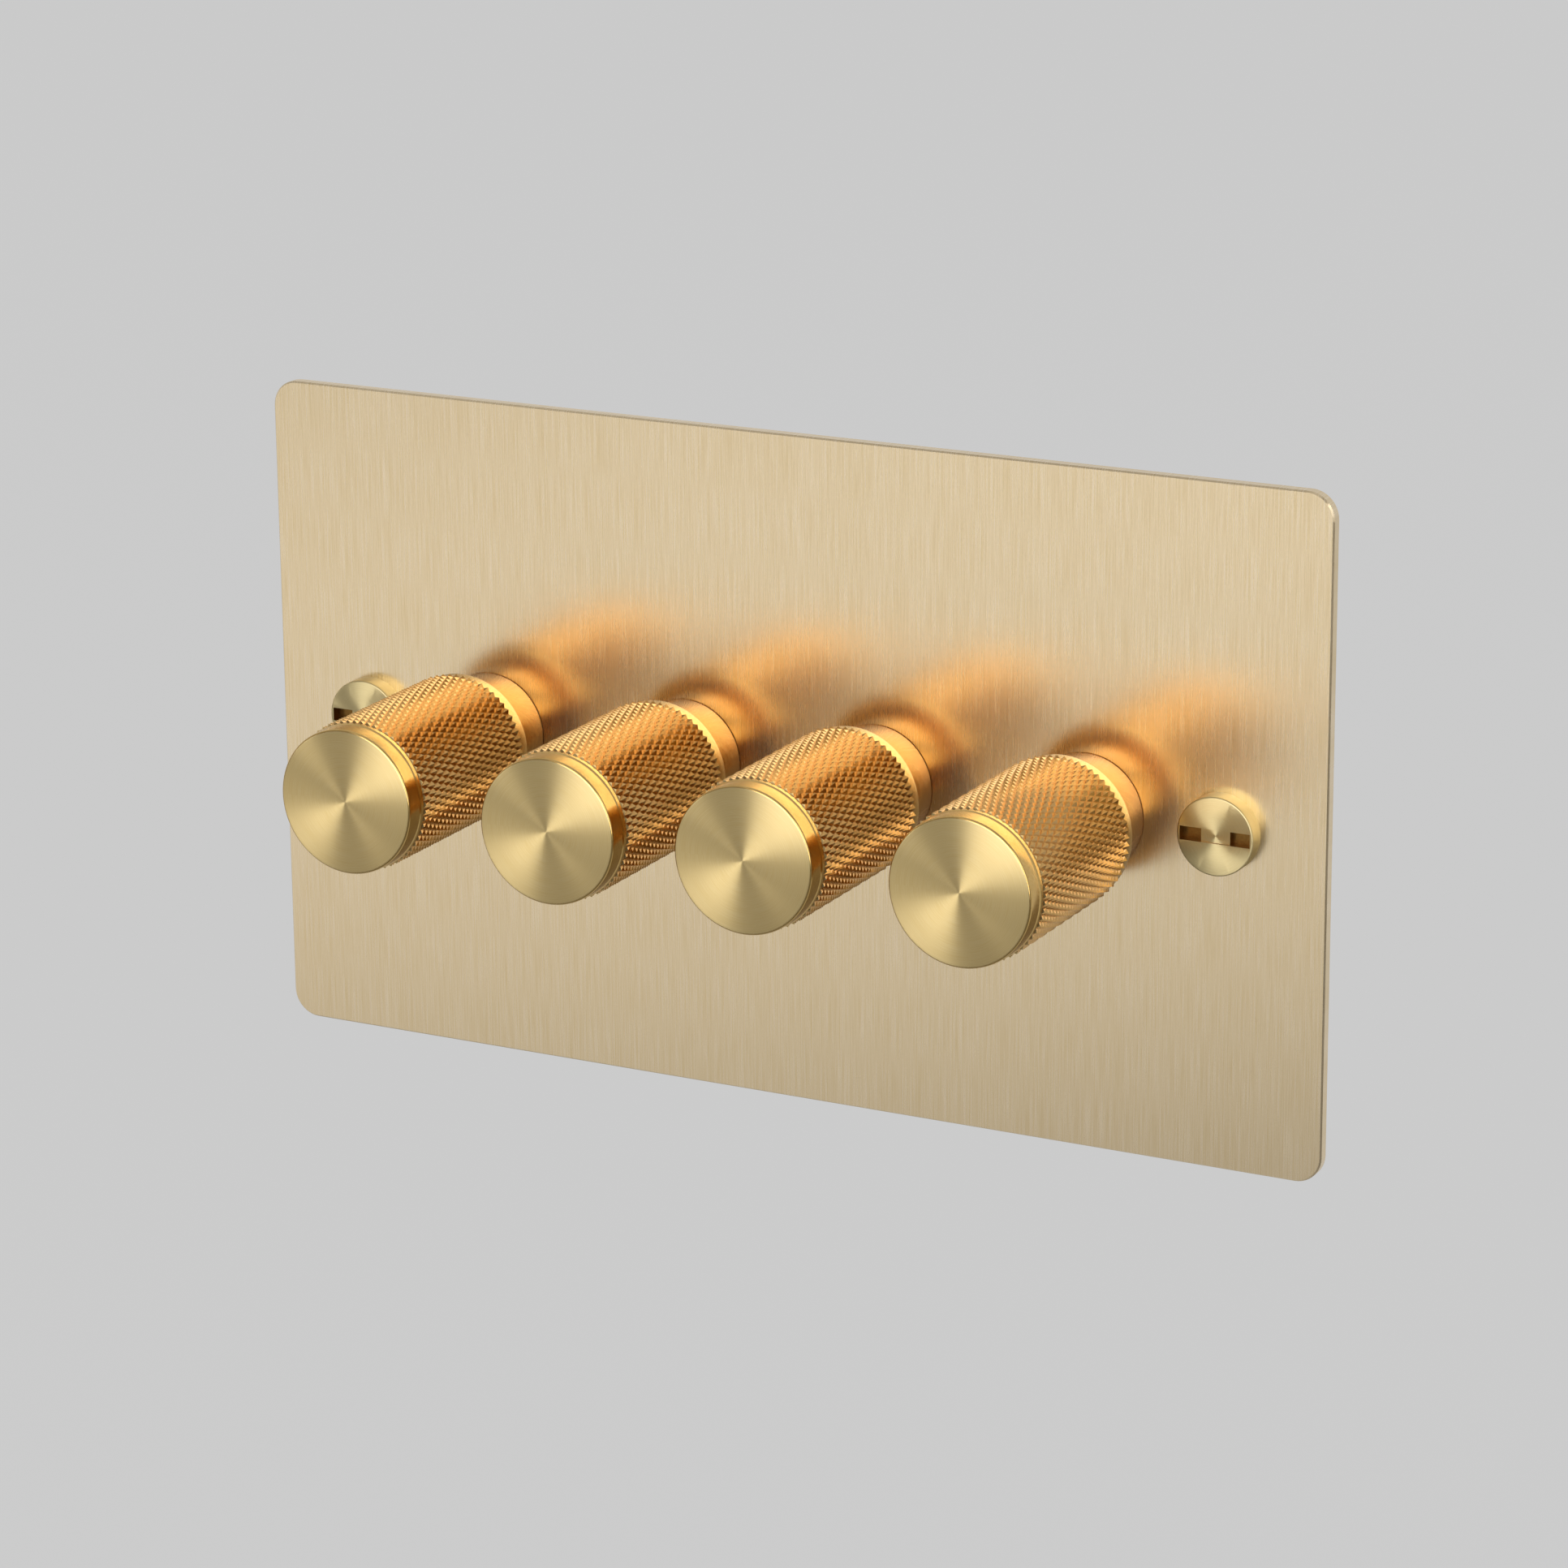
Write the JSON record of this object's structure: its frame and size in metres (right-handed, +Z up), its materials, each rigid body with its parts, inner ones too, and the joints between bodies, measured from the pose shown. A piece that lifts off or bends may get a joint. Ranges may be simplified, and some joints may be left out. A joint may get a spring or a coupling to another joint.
{
  "type": "dimmer switch",
  "caption": "Flat brass wall plate with a row of long diamond-knurled push-and-turn dimmer knobs, slotted fixing screws and plastic dimmer modules behind.",
  "frame": {"origin": "middle of the wall face, on the back of the gasket, halfway between the fixing screws", "axes": "+X along the plate, +Y into the wall, +Z up; the knobs point to -Y"},
  "size_m": [0.148, 0.0692, 0.087],
  "materials": {
    "brushed_brass": "vertically brushed",
    "turned_brass": "turned and diamond knurled",
    "screw_brass": "turned faces",
    "machined_brass": "machined",
    "bright_steel": "zinc plated",
    "case_plastic": "moulded, fine spark texture",
    "cover_plastic": "moulded, fine spark texture",
    "control_plastic": "moulded",
    "board_laminate": "solder mask",
    "choke_copper": "enamelled wire",
    "gasket_foam": "closed cell foam"
  },
  "bodies": {
    "housing": {"front_plate": "brushed_brass", "gasket": "gasket_foam", "fixing_screws": "screw_brass", "earth_terminal": "machined_brass", "earth_screw": "machined_brass", "lock_nuts": "turned_brass", "lock_washers": "bright_steel", "terminal_clamps": "machined_brass", "terminal_screws": "bright_steel", "cover_screws": "bright_steel", "bush_1": "machined_brass", "bush_2": "machined_brass", "bush_3": "machined_brass", "bush_4": "machined_brass", "module_case_1": "case_plastic", "module_case_2": "case_plastic", "module_case_3": "case_plastic", "module_case_4": "case_plastic", "module_cover_1": "cover_plastic", "module_cover_2": "cover_plastic", "module_cover_3": "cover_plastic", "module_cover_4": "cover_plastic", "control_body_1": "control_plastic", "control_body_2": "control_plastic", "control_body_3": "control_plastic", "control_body_4": "control_plastic", "return_spring_1": "bright_steel", "return_spring_2": "bright_steel", "return_spring_3": "bright_steel", "return_spring_4": "bright_steel", "circuit_board_1": "board_laminate", "circuit_board_2": "board_laminate", "circuit_board_3": "board_laminate", "circuit_board_4": "board_laminate", "choke_1": "choke_copper", "choke_2": "choke_copper", "choke_3": "choke_copper", "choke_4": "choke_copper"},
    "plunger_1": {"switch_plunger_1": "control_plastic"},
    "control_1": {"knob_1": "turned_brass", "spindle_1": "bright_steel"},
    "plunger_2": {"switch_plunger_2": "control_plastic"},
    "control_2": {"knob_2": "turned_brass", "spindle_2": "bright_steel"},
    "plunger_3": {"switch_plunger_3": "control_plastic"},
    "control_3": {"knob_3": "turned_brass", "spindle_3": "bright_steel"},
    "plunger_4": {"switch_plunger_4": "control_plastic"},
    "control_4": {"knob_4": "turned_brass", "spindle_4": "bright_steel"}
  },
  "joints": [
    {"name": "push_1", "type": "slide", "parent": "housing", "child": "plunger_1", "axis": [0, 1, 0], "range_m": [0, 0.0008], "stiffness_N_per_m": 2000, "springref_m": -0.00125, "deforming": ["return_spring_1"]},
    {"name": "turn_1", "type": "hinge", "parent": "plunger_1", "child": "control_1", "pos_m": [-0.0422, 0, 0], "axis": [0, 1, 0], "range_deg": [-140, 140]},
    {"name": "push_2", "type": "slide", "parent": "housing", "child": "plunger_2", "axis": [0, 1, 0], "range_m": [0, 0.0008], "stiffness_N_per_m": 2000, "springref_m": -0.00125, "deforming": ["return_spring_2"]},
    {"name": "turn_2", "type": "hinge", "parent": "plunger_2", "child": "control_2", "pos_m": [-0.0135, 0, 0], "axis": [0, 1, 0], "range_deg": [-140, 140]},
    {"name": "push_3", "type": "slide", "parent": "housing", "child": "plunger_3", "axis": [0, 1, 0], "range_m": [0, 0.0008], "stiffness_N_per_m": 2000, "springref_m": -0.00125, "deforming": ["return_spring_3"]},
    {"name": "turn_3", "type": "hinge", "parent": "plunger_3", "child": "control_3", "pos_m": [0.0135, 0, 0], "axis": [0, 1, 0], "range_deg": [-140, 140]},
    {"name": "push_4", "type": "slide", "parent": "housing", "child": "plunger_4", "axis": [0, 1, 0], "range_m": [0, 0.0008], "stiffness_N_per_m": 2000, "springref_m": -0.00125, "deforming": ["return_spring_4"]},
    {"name": "turn_4", "type": "hinge", "parent": "plunger_4", "child": "control_4", "pos_m": [0.0422, 0, 0], "axis": [0, 1, 0], "range_deg": [-140, 140]}
  ]
}
